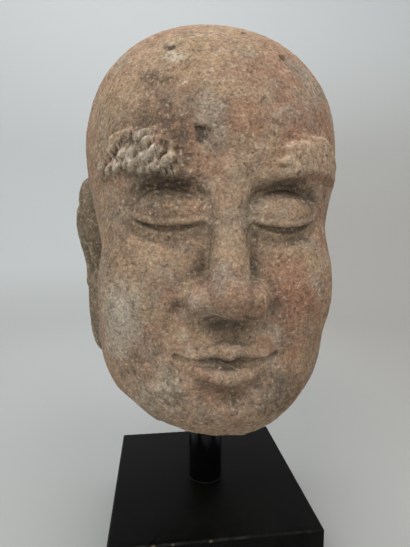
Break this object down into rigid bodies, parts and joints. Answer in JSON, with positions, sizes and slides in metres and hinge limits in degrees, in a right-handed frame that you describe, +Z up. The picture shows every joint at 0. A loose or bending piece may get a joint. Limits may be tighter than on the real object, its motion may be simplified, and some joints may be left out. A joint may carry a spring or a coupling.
{
  "type": "carved stone head on a stand",
  "caption": "Weathered sandstone head of a shaven monk with bushy brows and long ears, broken off at the neck, held up by a round black post on a square black block.",
  "frame": {"origin": "middle of the block's underside, the face that the whole thing stands on", "axes": "+Z up the post to the crown, -Y the way the face looks, +X to the left of the carved head"},
  "size_m": [0.2194, 0.2418, 0.421],
  "materials": {
    "sandstone": "matte",
    "black_enamel": "gloss",
    "black_lacquer": "satin"
  },
  "bodies": {
    "root": {"stone_head": "sandstone", "mount_post": "black_enamel", "base_block": "black_lacquer"}
  },
  "joints": []
}
